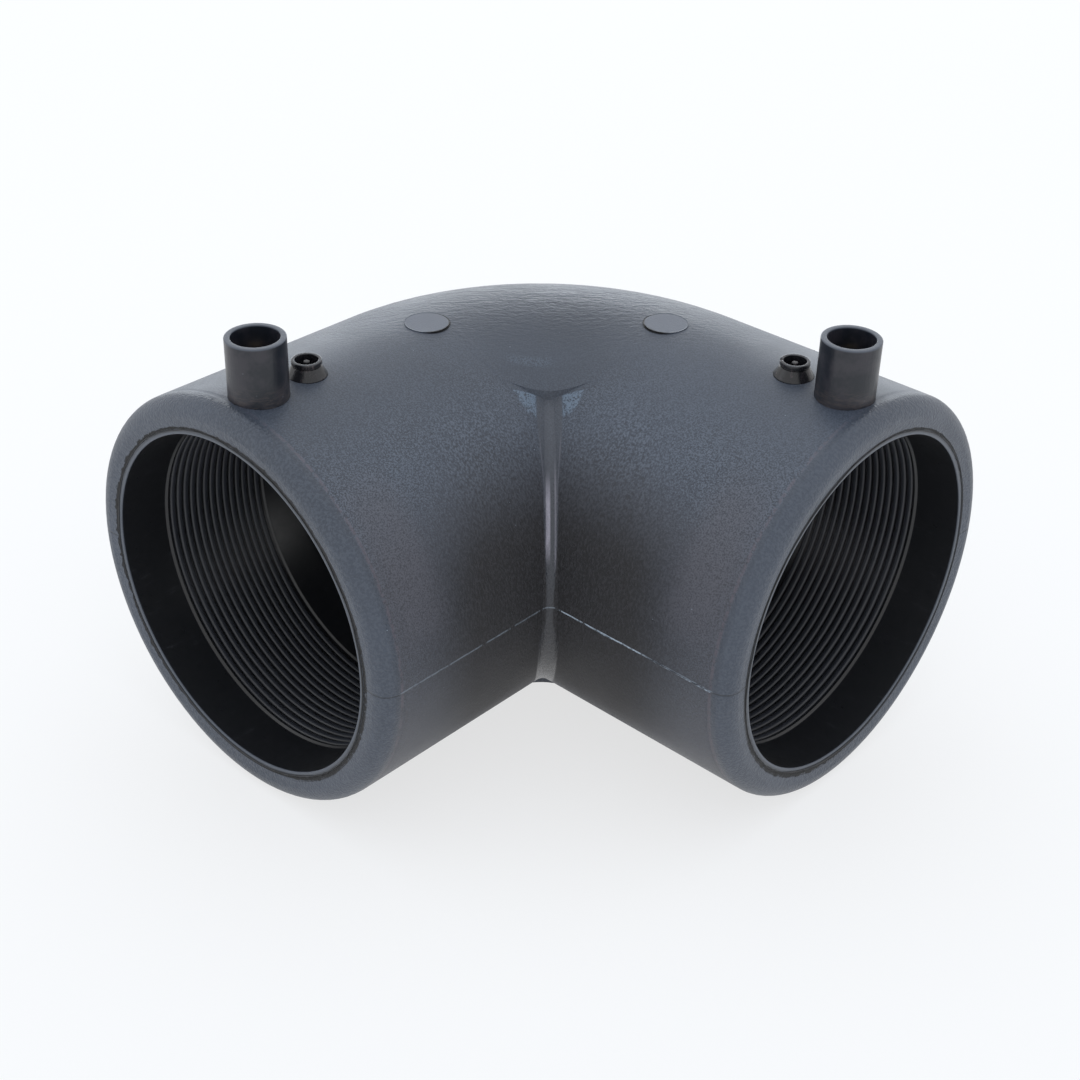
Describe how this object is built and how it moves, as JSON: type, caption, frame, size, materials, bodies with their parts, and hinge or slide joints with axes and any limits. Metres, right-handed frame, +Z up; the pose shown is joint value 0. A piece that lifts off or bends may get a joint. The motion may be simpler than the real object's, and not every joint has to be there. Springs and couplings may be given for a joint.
{
  "type": "electrofusion elbow",
  "caption": "Black polyethylene 90 degree elbow with a heating winding in each socket, shrouded terminals and fusion indicators.",
  "frame": {"origin": "under the middle of the outline, at the lowest point of the body, where it lies on the table", "axes": "+X out of the right socket, -Y out of the left socket, +Z up, the way the terminals point"},
  "size_m": [0.1396, 0.1396, 0.1053],
  "materials": {
    "body": "fine spark-eroded grain, satin on the crown",
    "sleeve": "smooth",
    "coil": "smooth coat over resistance wire",
    "shroud": "smooth satin",
    "indicator": "gloss",
    "contact": "turned",
    "wire": "drawn"
  },
  "bodies": {
    "root": {"elbow_body": "body", "sleeve_left": "sleeve", "sleeve_right": "sleeve", "heating_coil_left": "coil", "heating_coil_right": "coil", "terminal_shroud_left": "shroud", "terminal_shroud_right": "shroud", "terminal_pin_left": "contact", "terminal_pin_right": "contact", "fusion_indicator_left": "indicator", "fusion_indicator_right": "indicator", "indicator_pin_left": "indicator", "indicator_pin_right": "indicator", "link_wire": "wire"}
  },
  "joints": []
}
